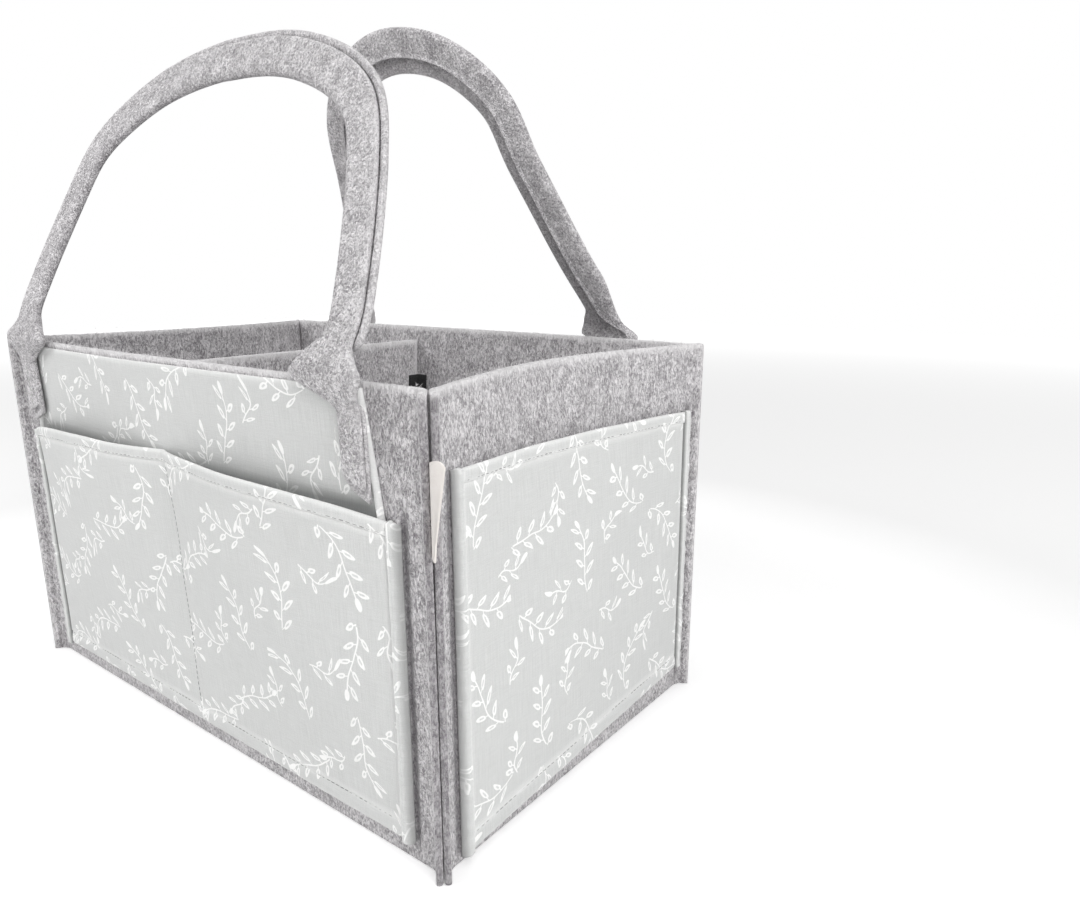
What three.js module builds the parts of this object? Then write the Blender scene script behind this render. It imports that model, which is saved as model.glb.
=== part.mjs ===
// Felt nursery organizer: a sewn felt box with fabric pockets outside, two folded
// felt handles and a felt divider that grips the walls with hook tape.
// Millimetres. +X runs along the length, +Y along the width, +Z up.
// The origin is the centre of the base, on the surface that the box stands on.
import * as THREE from 'three';

// Box of felt
const LENGTH = 340;
const WIDTH = 200;
const HEIGHT = 200;
const FELT = 3;
const FIN = 5;
const GAP = 0.3;

// How far the middle of each rim leaves the straight line between the corners
const END_BOW = -15.5;
const END_BOW_SHAPE = 2;
const SIDE_BOW = 9;
const SIDE_BOW_SHAPE = 3;
const BOW_POWER = 1.7;

// Fabric pieces
const FABRIC = 1;
const HEM_HEIGHT = 6;
const HEM_THICK = 1.8;
const BINDING_WIDTH = 6.5;
const BINDING_ROLL = 4;
const BINDING_EDGE = 1.4;
const BAND_HEIGHT = 9.5;
const BAND_THICK = 2.4;
const BAND_EDGE = 1.44;

// How the slack of a pocket dies out towards its seams and its bottom
const SEAM_SHAPE = 0.75;
const DEPTH_SHAPE = 0.6;

// Pocket on each end wall
const END_POCKET_INSET = 7.5;
const END_POCKET_SHIFT = 2.5;
const END_POCKET_DROP = 34;
const END_POCKET_BOTTOM = 3;
const END_POCKET_BOTTOM_FAR = 14;
const END_POCKET_BULGE = 6;

// Pocket and lining panel on each long wall
const SIDE_POCKET_INSET = 14;
const SIDE_POCKET_DROP = 50;
const SIDE_POCKET_BOTTOM = 9;
const SIDE_POCKET_BULGE = 9;
const LINING_INSET_TOP = 30;
const LINING_INSET_LOW = 22;
const LINING_DROP = 3;
const LINING_UNDERLAP = 2;
const LINING_EDGE = 3;
const LINING_ROLL = 0.8;

// Handle: a felt ribbon folded along its length, with both ends sewn to a long wall
const STRAP_WIDTH = 18;
const STRAP_REVEAL = 4;
const STRAP_FOLD_GAP = 0.6;
const STRAP_LEAN = THREE.MathUtils.degToRad(23);
const STRAP_INWARD = THREE.MathUtils.degToRad(20);
const STRAP_ROOT_WIDTH = 37;
const STRAP_ROOT_FLARE = 20;
const STRAP_END_WIDTH = 13.5;
const STRAP_END_OFFSET = 12.5;
const STRAP_END_DROP = 38;
const STRAP_TURN = 12;
const STRAP_LAYER_DROP = 5.5;
const STRAP_ROOT_FLAP = 0.25;
const HINGE_RISE = 2;

// The two handles are sewn on at different distances from the corners, so one arch
// is wide and low and the other narrow and high.
const FRONT_ARCH = { rootInset: 44, legOut: 3, shoulder: 117, shoulderRise: 82, height: 146 };
const REAR_ARCH = { rootInset: 60, legOut: 0, shoulder: 80, shoulderRise: 101, height: 170 };
const ARCH_FOOT_RISE = 17;
const ARCH_KNEE_DRAW = 0.35;
const ARCH_KNEE_SHARE = 0.45;

// Divider and its hook tape
const DIVIDER_X = -45;
const DIVIDER_DROP = 9;
const TAPE_DROP = 24;
const TAPE_WIDTH = 12;
const TAPE_THICK = 1.6;

// Folded tab in the seam of the near corner
const LABEL_DROP = 25;
const LABEL_HEIGHT = 36;
const LABEL_REACH = 12;
const LABEL_CURL = 5;
const LABEL_LOW_CURL = 1.25;
const LABEL_CORNER_LOW = 9.6;
const LABEL_CORNER_HIGH = 3;
const LABEL_THICK = 1;

// Materials
const felt = () => new THREE.MeshStandardMaterial({ color: 0xb4b0b2, roughness: 0.95, metalness: 0 });
const print = () => new THREE.MeshStandardMaterial({ color: 0xcdd1ce, roughness: 0.85, metalness: 0 });
const ribbon = () => new THREE.MeshStandardMaterial({ color: 0xe6dfd8, roughness: 0.7, metalness: 0 });
const hookTape = () => new THREE.MeshStandardMaterial({ color: 0x151515, roughness: 0.8, metalness: 0 });

// Turns the faces outward when the walk over the grid came out inside out.
function facingOut(positions, index) {
  const a = new THREE.Vector3();
  const b = new THREE.Vector3();
  const c = new THREE.Vector3();
  let volume = 0;
  for (let i = 0; i < index.length; i += 3) {
    a.fromArray(positions, index[i] * 3);
    b.fromArray(positions, index[i + 1] * 3);
    c.fromArray(positions, index[i + 2] * 3);
    volume += a.dot(b.cross(c));
  }
  return volume > 0 ? index : index.reverse();
}

// A closed sheet between two faces, each a function of u and v from 0 to 1 that gives [x, y, z].
function closedSheet(front, back, columns, rows) {
  const positions = [];
  for (const face of [front, back]) {
    for (let row = 0; row <= rows; row += 1) {
      for (let column = 0; column <= columns; column += 1) {
        positions.push(...face(column / columns, row / rows));
      }
    }
  }
  const across = columns + 1;
  const backStart = across * (rows + 1);
  const index = [];
  const quad = (a, b, c, d) => index.push(a, b, c, a, c, d);
  for (let row = 0; row < rows; row += 1) {
    for (let column = 0; column < columns; column += 1) {
      const a = row * across + column;
      quad(a, a + 1, a + across + 1, a + across);
      quad(backStart + a + across, backStart + a + across + 1, backStart + a + 1, backStart + a);
    }
  }
  const top = rows * across;
  for (let column = 0; column < columns; column += 1) {
    quad(backStart + column, backStart + column + 1, column + 1, column);
    quad(top + column, top + column + 1, backStart + top + column + 1, backStart + top + column);
  }
  for (let row = 0; row < rows; row += 1) {
    const left = row * across;
    const right = left + columns;
    quad(left, left + across, backStart + left + across, backStart + left);
    quad(backStart + right, backStart + right + across, right + across, right);
  }
  const geometry = new THREE.BufferGeometry();
  geometry.setAttribute('position', new THREE.Float32BufferAttribute(positions, 3));
  geometry.setIndex(facingOut(positions, index));
  geometry.computeVertexNormals();
  return geometry;
}

function mesh(name, geometry, material) {
  const piece = new THREE.Mesh(geometry, material);
  piece.name = name;
  return piece;
}

const lerp = THREE.MathUtils.lerp;
const smooth = (x, from, to) => THREE.MathUtils.smoothstep(x, from, to);

// Each wall is drawn in its own frame, seen from outside: s runs along the wall, out points
// away from the box and z goes up. A group turns the frame to its side of the box.
const LONG = { face: WIDTH / 2, half: LENGTH / 2, bow: SIDE_BOW, shape: SIDE_BOW_SHAPE };
const SHORT = { face: LENGTH / 2, half: WIDTH / 2, bow: END_BOW, shape: END_BOW_SHAPE };
const FRONT = {
  ...LONG,
  label: 'front',
  turn: 0,
  words: ['left', 'right'],
  arch: FRONT_ARCH,
  root: LENGTH / 2 - FRONT_ARCH.rootInset,
};
const REAR = {
  ...LONG,
  label: 'rear',
  turn: Math.PI,
  words: ['right', 'left'],
  arch: REAR_ARCH,
  root: LENGTH / 2 - REAR_ARCH.rootInset,
};
const RIGHT = { ...SHORT, label: 'right_end', turn: Math.PI / 2, words: ['front', 'rear'] };
const LEFT = { ...SHORT, label: 'left_end', turn: -Math.PI / 2, words: ['rear', 'front'] };

// The word for the end of a wall that lies towards negative or positive s
const endWord = (side, end) => side.words[end > 0 ? 1 : 0];

const place = (side, s, out, z) => [s, -(side.face + out), z];

// The corner seams stay straight, and the bow grows from them towards the middle of the rim.
const SEAM_STEP = FELT * Math.SQRT2 + GAP;

function bowAt(side, s, z) {
  const reach = side.half - SEAM_STEP - FELT;
  const across = Math.max(0, 1 - Math.abs(s / reach) ** side.shape);
  return side.bow * across * (Math.max(z, 0) / HEIGHT) ** BOW_POWER;
}

// A piece that lies along a wall. Its side edges are given over the height's share v, its low
// and high edges over s, and its two faces by their distance out from the wall's face.
function alongWall(side, edges, front, back, columns, rows) {
  const point = (distance) => (u, v) => {
    const s = lerp(edges.from(v), edges.to(v), u);
    const z = lerp(edges.low(s), edges.high(s), v);
    return place(side, s, bowAt(side, s, z) + distance(s, z, u, v), z);
  };
  return closedSheet(point(front), point(back), columns, rows);
}

const straight = (low, high, from, to) => ({ low, high, from: () => from, to: () => to });
const level = (z) => () => z;

// Felt wall: its two side edges turn out along the corner's diagonal as seam fins.
function wall(side) {
  const half = side.half - GAP / Math.SQRT2;
  const inner = half - FELT;
  const outer = half - FELT * Math.SQRT2;
  const finRun = FELT + FIN / Math.SQRT2;
  const finFace = FELT / Math.SQRT2;
  const bends = 16;
  const columns = bends + 2;
  const column = (u) => Math.round(u * columns);
  const spread = (k) => (2 * (k - 1)) / bends - 1;
  const outside = (u, v) => {
    const k = column(u);
    const z = v * HEIGHT;
    const end = k === 0 ? -1 : 1;
    if (k === 0 || k === columns) {
      return place(side, end * (inner + finRun - finFace), finRun - FELT + finFace, z);
    }
    const s = spread(k) * outer;
    return place(side, s, bowAt(side, s, z), z);
  };
  const inside = (u, v) => {
    const k = column(u);
    const z = v * HEIGHT;
    const end = k === 0 ? -1 : 1;
    if (k === 0 || k === columns) {
      return place(side, end * (inner + finRun), finRun - FELT, z);
    }
    const s = spread(k) * inner;
    return place(side, s, bowAt(side, s, z) - FELT, z);
  };
  return mesh(`${side.label}_wall`, closedSheet(outside, inside, columns, 6), felt());
}

// Base panel of felt between the four walls
function basePanel() {
  const x = LENGTH / 2 - FELT - GAP;
  const y = WIDTH / 2 - FELT - GAP;
  const face = (z) => (u, v) => [lerp(-x, x, u), lerp(-y, y, v), z];
  return mesh('base_panel', closedSheet(face(FELT), face(0), 2, 2), felt());
}

// Fabric pocket: a slack panel between rolled side bindings, with a hem above and a band below.
// Seams sew the panel down to the wall between compartments.
function pocket(side, name, size) {
  const { inset, shift, low, lowFar, drop, bulge, seams, lift } = size;
  const high = HEIGHT - drop;
  const reach = side.half - inset;
  const panelReach = reach - BINDING_WIDTH - GAP;
  const stops = [shift - panelReach, ...seams, shift + panelReach];
  const lowAt = (raise) => (s) => raise + lerp(low, lowFar, (s / reach + 1) / 2);
  const between = (lowEdge, highEdge) => {
    return straight(lowEdge, highEdge, shift - panelReach, shift + panelReach);
  };
  const slack = (s, z) => {
    const right = Math.max(1, stops.findIndex((stop) => s <= stop));
    const middle = (stops[right] + stops[right - 1]) / 2;
    const span = (stops[right] - stops[right - 1]) / 2;
    const fullness = Math.max(0, 1 - ((s - middle) / span) ** 2) ** SEAM_SHAPE;
    return bulge * fullness * smooth(z, low, high) ** DEPTH_SHAPE;
  };
  const back = (s, z) => lift + GAP + slack(s, z);
  const columns = 10 * (seams.length + 1);
  const panelEdges = between(lowAt(BAND_HEIGHT + GAP), level(high - HEM_HEIGHT - GAP));
  const panel = alongWall(side, panelEdges, (s, z) => back(s, z) + FABRIC, back, columns, 6);
  const hemBack = (s, z) => Math.max(lift + GAP, back(s, z) - (HEM_THICK - FABRIC) / 2);
  const hemEdges = between(level(high - HEM_HEIGHT), level(high));
  const hem = alongWall(side, hemEdges, (s, z) => hemBack(s, z) + HEM_THICK, hemBack, columns, 1);
  const bandEdges = between(lowAt(0), lowAt(BAND_HEIGHT));
  const bandFront = (s, z, u, v) => GAP + lerp(BAND_EDGE, BAND_THICK, Math.sin(Math.PI * v));
  const band = alongWall(side, bandEdges, bandFront, level(GAP), 8, 3);
  const roll = (s, z, u) => GAP + lerp(BINDING_EDGE, BINDING_ROLL, Math.sin(Math.PI * u));
  const bindings = [1, -1].map((end) => {
    const from = shift + end * (panelReach + GAP);
    const edges = straight(lowAt(0), level(high), from, shift + end * reach);
    const strip = alongWall(side, edges, roll, level(GAP), 5, 6);
    return mesh(`${name}_binding_${endWord(side, end)}`, strip, print());
  });
  return [
    mesh(`${name}_panel`, panel, print()),
    mesh(`${name}_hem`, hem, print()),
    mesh(`${name}_band`, band, print()),
    ...bindings,
  ];
}

// Fabric lining panel on a long wall, behind the pocket's mouth and the ends of the handle,
// with a rolled edge at each side.
const LINING_LOW = HEIGHT - SIDE_POCKET_DROP - HEM_HEIGHT - LINING_UNDERLAP;
const LINING_HIGH = HEIGHT - LINING_DROP;
const LINING_OUT = GAP + FABRIC;
const liningReach = (v) => LENGTH / 2 - lerp(LINING_INSET_LOW, LINING_INSET_TOP, v);

function lining(side) {
  const across = (end, inner) => (v) => end * (liningReach(v) - inner);
  const cloth = {
    low: level(LINING_LOW),
    high: level(LINING_HIGH),
    from: across(-1, LINING_EDGE + GAP),
    to: across(1, LINING_EDGE + GAP),
  };
  const panel = alongWall(side, cloth, level(LINING_OUT), level(GAP), 14, 3);
  const roll = (s, z, u) => GAP + FABRIC + LINING_ROLL * Math.sin(Math.PI * u);
  const edgeRolls = [1, -1].map((end) => {
    const strip = { ...cloth, from: across(end, LINING_EDGE), to: across(end, 0) };
    const name = `${side.label}_lining_edge_${endWord(side, end)}`;
    return mesh(name, alongWall(side, strip, roll, level(GAP), 4, 3), print());
  });
  return [mesh(`${side.label}_lining_panel`, panel, print()), ...edgeRolls];
}

// Where the strap's end lies on the wall at a height: narrow where it is sewn down, and
// spreading towards the middle of the box as it reaches the rim.
function strapEndEdges(side, z) {
  const turn = smooth(z, HEIGHT - STRAP_TURN, HEIGHT + HINGE_RISE);
  const centre = side.root + lerp(STRAP_END_OFFSET, 0, turn);
  const half = lerp(STRAP_END_WIDTH, STRAP_ROOT_WIDTH, turn) / 2;
  return { inner: centre - half, outer: centre + half };
}

// The ends lie flat across the bowed wall, on the lining.
const strapBack = (side, z) => {
  const edge = strapEndEdges(side, z).inner;
  return bowAt(side, edge, z) + LINING_OUT + GAP;
};
const STRAP_THICK = 2 * FELT + STRAP_FOLD_GAP;
const hingeOut = (side) => strapBack(side, HEIGHT + HINGE_RISE) + STRAP_THICK + GAP;

function strapEnds(side) {
  const layers = [
    { word: 'outer', from: FELT + STRAP_FOLD_GAP, drop: 0 },
    { word: 'inner', from: 0, drop: STRAP_LAYER_DROP },
  ];
  const pieces = [];
  for (const end of [1, -1]) {
    for (const layer of layers) {
      const low = HEIGHT - STRAP_END_DROP - layer.drop;
      const high = HEIGHT + HINGE_RISE - GAP / 2;
      const face = (lift) => (u, v) => {
        const z = lerp(low, high, v);
        const edge = strapEndEdges(side, z);
        const s = end * lerp(edge.inner, edge.outer, u);
        return place(side, s, strapBack(side, z) + layer.from + lift, z);
      };
      const name = `${side.label}_strap_end_${endWord(side, end)}_${layer.word}`;
      pieces.push(mesh(name, closedSheet(face(FELT), face(0), 2, 12), felt()));
    }
  }
  return pieces;
}

// Centre line of one half of the arch in its own plane: x across and t up from the hinge.
// The leg rises from the root to the shoulder, and a flattened curve joins the shoulders.
function archRoute(side) {
  const { legOut, shoulder, shoulderRise, height } = side.arch;
  const crown = (angle) => [
    shoulder * Math.cos(angle),
    lerp(shoulderRise, height, Math.sin(angle)),
  ];
  const points = [
    [side.root, 0],
    [side.root + legOut, ARCH_FOOT_RISE],
    [lerp(side.root, shoulder, ARCH_KNEE_DRAW) + legOut, shoulderRise * ARCH_KNEE_SHARE],
    crown(0),
    crown(Math.PI / 6),
    crown(Math.PI / 3),
    crown(Math.PI / 2),
  ];
  return new THREE.CatmullRomCurve3(points.map(([x, t]) => new THREE.Vector3(x, t, 0)));
}

// Section of the folded ribbon. The fold is at one edge, and the leg on the other face
// shows past the first at the open edge.
function foldedSection(openSide, proudLeg, halfWidth, flapShare) {
  const bend = (FELT + STRAP_FOLD_GAP) / 2;
  const foldAt = -openSide * (halfWidth - bend - FELT / 2);
  const legEnd = (leg) => openSide * (halfWidth - (leg === proudLeg ? 0 : STRAP_REVEAL));
  const outerEnd = legEnd('outer');
  const innerEnd = lerp(foldAt + openSide * FELT, legEnd('inner'), flapShare);
  const middle = STRAP_THICK / 2;
  const stations = [];
  const legSteps = 3;
  const foldSteps = 4;
  for (let k = 0; k < legSteps; k += 1) {
    stations.push({ w: lerp(outerEnd, foldAt, k / legSteps), n: middle - bend, nw: 0, nn: -1 });
  }
  for (let k = 0; k <= foldSteps; k += 1) {
    const angle = (Math.PI * k) / foldSteps;
    const nw = -openSide * Math.sin(angle);
    const nn = -Math.cos(angle);
    stations.push({ w: foldAt + bend * nw, n: middle + bend * nn, nw, nn });
  }
  for (let k = 1; k <= legSteps; k += 1) {
    stations.push({ w: lerp(foldAt, innerEnd, k / legSteps), n: middle + bend, nw: 0, nn: 1 });
  }
  return stations;
}

// Handle arch, from its root over one end of the strap to its root over the other
function handleArch(side, openSide, proudLeg) {
  const route = archRoute(side);
  const length = route.getLength();
  const bevel = Math.tan(STRAP_LEAN + STRAP_INWARD);
  const crossing = (v) => {
    const along = 1 - Math.abs(2 * v - 1);
    const point = route.getPointAt(along);
    const tangent = route.getTangentAt(along);
    const flare = 1 - smooth(along * length, 0, STRAP_ROOT_FLARE);
    const square = new THREE.Vector2(tangent.y, -tangent.x);
    const across = square.lerp(new THREE.Vector2(1, 0), flare).normalize();
    const halfWidth = lerp(STRAP_WIDTH + STRAP_REVEAL, STRAP_ROOT_WIDTH, flare) / 2;
    const flap = lerp(1, STRAP_ROOT_FLAP, flare);
    const section = foldedSection(openSide, proudLeg, halfWidth, flap);
    return { mirror: v < 0.5 ? 1 : -1, point, across, flare, section };
  };
  const face = (sign) => (u, v) => {
    const row = crossing(v);
    const station = row.section[Math.round(u * (row.section.length - 1))];
    const w = station.w + (sign * station.nw * FELT) / 2;
    const n = station.n + (sign * station.nn * FELT) / 2;
    const x = row.mirror * (row.point.x + w * row.across.x);
    const rise = (GAP + n * bevel) * row.flare;
    return [x, n, row.point.y + w * row.across.y + rise];
  };
  const columns = crossing(0).section.length - 1;
  const rows = 48;
  return mesh(`${side.label}_handle`, closedSheet(face(1), face(-1), columns, rows), felt());
}

function handle(side, openSide, proudLeg) {
  const pivot = new THREE.Group();
  pivot.position.set(0, -(side.face + hingeOut(side)), HEIGHT + HINGE_RISE);
  pivot.rotation.x = -STRAP_LEAN;
  pivot.add(handleArch(side, openSide, proudLeg));
  return pivot;
}

// Divider across the box. Its ends follow the bowed long walls, and a hook tape in each
// corner grips the wall.
function divider() {
  const low = FELT + GAP;
  const high = HEIGHT - DIVIDER_DROP;
  const reach = (z) => WIDTH / 2 - FELT - GAP + bowAt(FRONT, DIVIDER_X, z);
  const face = (x) => (u, v) => {
    const z = lerp(low, high, v);
    return [x, lerp(-reach(z), reach(z), u), z];
  };
  const panel = closedSheet(face(DIVIDER_X + FELT / 2), face(DIVIDER_X - FELT / 2), 2, 8);
  const pieces = [mesh('divider_panel', panel, felt())];
  for (const end of [1, -1]) {
    const word = end > 0 ? 'rear' : 'front';
    const x = DIVIDER_X + FELT / 2 + GAP;
    const tapeFace = (inset) => (u, v) => {
      const z = lerp(low + TAPE_DROP, high - TAPE_DROP, v);
      const wallAt = reach(z) - GAP;
      const onPanel = u <= 0.5;
      const run = onPanel ? 1 - 2 * u : 2 * u - 1;
      const from = x + inset;
      return [
        onPanel ? from : lerp(from, x + TAPE_WIDTH, run),
        end * (onPanel ? lerp(wallAt - inset, wallAt - TAPE_WIDTH, run) : wallAt - inset),
        z,
      ];
    };
    const tape = closedSheet(tapeFace(0), tapeFace(TAPE_THICK), 4, 6);
    pieces.push(mesh(`divider_hook_tape_${word}`, tape, hookTape()));
  }
  return pieces;
}

// Folded tab that stands out of the corner seam and curls to one side
function labelTab() {
  const tip = FIN / Math.SQRT2;
  const low = HEIGHT - LABEL_DROP - LABEL_HEIGHT;
  const high = HEIGHT - LABEL_DROP;
  const start = new THREE.Vector2(LENGTH / 2 + tip, -(WIDTH / 2 + tip));
  const out = new THREE.Vector2(1, -1).normalize();
  const aside = new THREE.Vector2(1, 1).normalize();
  const face = (shift) => (u, v) => {
    const run = GAP + u * LABEL_REACH;
    const bend = u * u * lerp(LABEL_LOW_CURL, LABEL_CURL, v);
    const corner = smooth(u, 0.6, 1);
    const z = lerp(low + corner * LABEL_CORNER_LOW, high - corner * LABEL_CORNER_HIGH, v);
    const spot = start.clone().addScaledVector(out, run).addScaledVector(aside, bend + shift);
    return [spot.x, spot.y, z];
  };
  const sheet = closedSheet(face(LABEL_THICK / 2), face(-LABEL_THICK / 2), 8, 6);
  return mesh('label_tab', sheet, ribbon());
}

// Assembly
const SIDE_POCKET = {
  inset: SIDE_POCKET_INSET,
  shift: 0,
  low: SIDE_POCKET_BOTTOM,
  lowFar: SIDE_POCKET_BOTTOM,
  drop: SIDE_POCKET_DROP,
  bulge: SIDE_POCKET_BULGE,
  seams: [0],
  lift: LINING_OUT,
};
const END_POCKET = {
  inset: END_POCKET_INSET,
  shift: END_POCKET_SHIFT,
  low: END_POCKET_BOTTOM,
  lowFar: END_POCKET_BOTTOM_FAR,
  drop: END_POCKET_DROP,
  bulge: END_POCKET_BULGE,
  seams: [],
  lift: FABRIC,
};

function longSide(side, openSide, proudLeg) {
  return [
    wall(side),
    ...pocket(side, `${side.label}_pocket`, SIDE_POCKET),
    ...lining(side),
    ...strapEnds(side),
    handle(side, openSide, proudLeg),
  ];
}

function shortSide(side) {
  return [wall(side), ...pocket(side, `${side.label}_pocket`, END_POCKET)];
}

function turned(side, pieces) {
  const group = new THREE.Group();
  group.rotation.z = side.turn;
  group.add(...pieces);
  return group;
}

const organizer = new THREE.Group();
organizer.add(basePanel(), labelTab(), ...divider());
organizer.add(turned(FRONT, longSide(FRONT, 1, 'inner')));
organizer.add(turned(REAR, longSide(REAR, -1, 'outer')));
organizer.add(turned(RIGHT, shortSide(RIGHT)));
organizer.add(turned(LEFT, shortSide(LEFT)));

export default organizer;
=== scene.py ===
"""Looks of the felt nursery organizer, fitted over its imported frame.

Shapes are worked out in millimetres and turned into metres as each mesh is made. Each wall has
its own frame: s runs along it, out points away from the box and z goes up.
"""
import math
from dataclasses import dataclass

import bpy
import numpy as np
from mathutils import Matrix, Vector

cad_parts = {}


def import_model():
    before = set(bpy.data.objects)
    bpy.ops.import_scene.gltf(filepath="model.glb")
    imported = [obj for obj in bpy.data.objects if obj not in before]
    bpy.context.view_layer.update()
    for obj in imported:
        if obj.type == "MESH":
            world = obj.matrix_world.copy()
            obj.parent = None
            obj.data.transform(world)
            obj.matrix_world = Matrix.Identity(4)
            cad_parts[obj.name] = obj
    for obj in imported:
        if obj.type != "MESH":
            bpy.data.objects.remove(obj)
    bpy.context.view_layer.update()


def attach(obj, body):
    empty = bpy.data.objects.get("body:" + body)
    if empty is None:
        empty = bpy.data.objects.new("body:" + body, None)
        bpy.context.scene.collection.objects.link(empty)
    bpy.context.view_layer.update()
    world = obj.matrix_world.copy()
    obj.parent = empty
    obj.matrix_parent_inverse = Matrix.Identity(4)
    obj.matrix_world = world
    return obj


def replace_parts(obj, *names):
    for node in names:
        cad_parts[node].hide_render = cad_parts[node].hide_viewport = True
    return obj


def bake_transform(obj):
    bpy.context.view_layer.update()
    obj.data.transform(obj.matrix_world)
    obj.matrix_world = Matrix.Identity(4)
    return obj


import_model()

MM = 0.001
DIAGONAL = math.sqrt(0.5)

# Box of felt, as in the frame
LENGTH = 340
WIDTH = 200
HEIGHT = 200
FELT = 3
FIN = 5
GAP = 0.3

# How the felt leaves the flat: bow, waves, and what the seams pull in
BOW_POWER = 1.7
FELT_WAVE = (0.5, 70)
FELT_WAVE_FOOT = 30
NEAR_CORNER_DIP = 1.6
NEAR_CORNER_REACH = 45
SEAM_GAP = 0.04
SEAM_STEP = FELT * math.sqrt(2) + GAP
SEAM_GROOVE = 0.9
SEAM_GROOVE_AT = 3
SEAM_GROOVE_WIDTH = 0.9
CORNER_RADIUS = 2.5
FIN_SPLAY = 0.9
FIN_SPLAY_FOOT = 0.3
FURROW = 1.1
FURROW_INSIDE = 0.8
FURROW_OUTSIDE = 2.2

# Mesh steps, finer near the seams of a wall
WALL_STEP = 3.5
WALL_FINE_REACH = 24
WALL_FINE_COUNT = 28
FIN_COUNT = 12
STEP = 3

# Fabric pieces. A wave is its height and its length
FABRIC = 1
HEM_HEIGHT = 6
HEM_THICK = 1.8
HEM_PUFF = 0.25
HEM_SEAM_AT = 0.17
HEM_SEAM_WIDTH = 0.08
HEM_WAVE = (0.15, 9)
BINDING_WIDTH = 4.8
BINDING_EDGE = 1.4
BINDING_ROLL = 4
BINDING_RIDGE = 0.9
BINDING_RIDGE_AT = 0.16
BINDING_RIDGE_WIDTH = 0.07
BINDING_WAVE = (0.3, 6.5)
BAND_HEIGHT = 9.5
BAND_EDGE = 1.44
BAND_THICK = 2.4
BAND_WAVE = (0.2, 11)
SEAM_SHAPE = 0.75
DEPTH_SHAPE = 0.6
SLACK_WAVE = (0.7, 46)
PUCKER = (0.35, 7)
PUCKER_REACH = 5
MOUTH_DIP_REACH = 30

# Lining behind the pocket's mouth on each long wall
SIDE_POCKET_DROP = 50
LINING_INSET_TOP = 30
LINING_INSET_LOW = 22
LINING_LOW = HEIGHT - SIDE_POCKET_DROP - HEM_HEIGHT - 2
LINING_HIGH = HEIGHT - 3
LINING_EDGE = 3
LINING_ROLL = 1.5
LINING_OUT = GAP + FABRIC
LINING_WAVE = (0.12, 16)
LINING_ROLL_WAVE = (0.1, 8)
MOUTH_HIGH = HEIGHT - SIDE_POCKET_DROP + 1
MOUTH_SHADE = 0.75
MOUTH_SHADE_FADE = 6

# Handle straps. A leaf is one of the two layers of the folded felt
STRAP_FLAT = 42
STRAP_STEP = 2.4
STRAP_FOLD_GAP = 0.6
STRAP_THICK = 2 * FELT + STRAP_FOLD_GAP
STRAP_LEAN = math.radians(23)
STRAP_ROOT_WIDTH = 37
STRAP_ROOT_FLARE = 20
STRAP_END_WIDTH = 13.5
STRAP_END_OFFSET = 11.5
STRAP_END_DROP = 38
STRAP_END_SLANT = 0.4
STRAP_END_SLANT_REACH = 22
STRAP_TURN = 12
STRAP_LAYER_DROP = 5.5
STRAP_WAVE = (0.35, 60)
STRAP_DRAW_REACH = 90
HINGE_RISE = 2
HINGE_Z = HEIGHT + HINGE_RISE
STRAP_BEND_BELOW = 6
STRAP_BEND_ABOVE = 14
STRAP_PRESSED = 0.76
STRAP_SEWN_PRESSED = 0.8
STRAP_RIDGE = 0.7
STRAP_RIDGE_WIDTH = 1.3
STRAP_SEAM_AT = 2.7
STRAP_SEAM_WIDTH = 0.9
STRAP_STITCH_AT = 0.648
PINCH_ZONE = (14, 34)
OUTER_SHARE = 0.43
INNER_SHARE = 0.57
FOOT_RISE = 17
KNEE_DRAW = 0.35
KNEE_SHARE = 0.45
CROWN_ANGLES = (0, 30, 60, 90, 120)
CURVE_SAMPLES = 40
TANGENT_STEP = 2

# Divider, hook tape and label
DIVIDER_X = -45
DIVIDER_DROP = 9
DIVIDER_EASE = 0.5
DIVIDER_WAVE = (0.8, 90)
DIVIDER_SPAN = 190
TAPE_DROP = 24
TAPE_WIDTH = 9
TAPE_THICK = 1.6
LABEL_DROP = 25
LABEL_HEIGHT = 36
LABEL_REACH = 12
LABEL_SEWN = 1.5
LABEL_CURL = 5
LABEL_LOW_CURL = 1.25
LABEL_CORNER_LOW = 9.6
LABEL_CORNER_HIGH = 3
LABEL_THICK = 0.6
LABEL_OPEN = 0.22

# Stitches, fibres, and edges paled by wear and by painted highlight
STITCH_PITCH = 3.1
STITCH_LENGTH = 2.3
STITCH_THICK = 0.42
FUZZ_THICK = 0.13
FUZZ_LENGTH = 2.2
FUZZ_SPREAD = 0.9
FUZZ_PER_MM = 2
EDGE_RINGS = 3
EDGE_FADE = 0.85
CUT_EDGE_WEAR_AND_HIGHLIGHT = 0.8

# Light, in metres
LIGHT_TARGET = (0, 0, 0.1)
WORLD_LIGHT = 0.335
FLOOR_SIZE = 3
FLOOR_GLOW = 0.12
FLOOR_RISE = 0.31
FLOOR_NEAR = 0.11
FLOOR_NEAR_END = 0.55
FLOOR_NEAR_FADE = 0.12


@dataclass
class Arch:
    """A handle's shape. A pair is for the strap's edge towards the box's middle and the one away
    from it, or for the outer and the inner leaf."""

    root: float  # middle of its root, from the middle of the wall
    leg_out: float  # how far a leg's foot leans outward
    shoulder: float  # half width of the arch
    shoulder_rise: float
    height: float
    width: float  # of the folded strap
    shorts: tuple  # how much narrower each leaf is
    roots: tuple  # half widths at the rim
    sweep: tuple  # height over which each edge narrows to the folded width
    power: float
    pinch: float  # how far the fold is drawn in above the rim
    flap_zone: tuple  # heights between which the inner leaf unfolds
    flush: float  # how far the proud leaf sinks towards the other
    open_side: int  # which edge the leaves' free edges are on
    # shade: painted shade between the leaves, on the strap's back face
    shade: float  # darkness between the leaves
    left_root: float  # half width of the left root, towards the middle
    left_draw: float  # share of its distance at which the left leg stands


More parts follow.
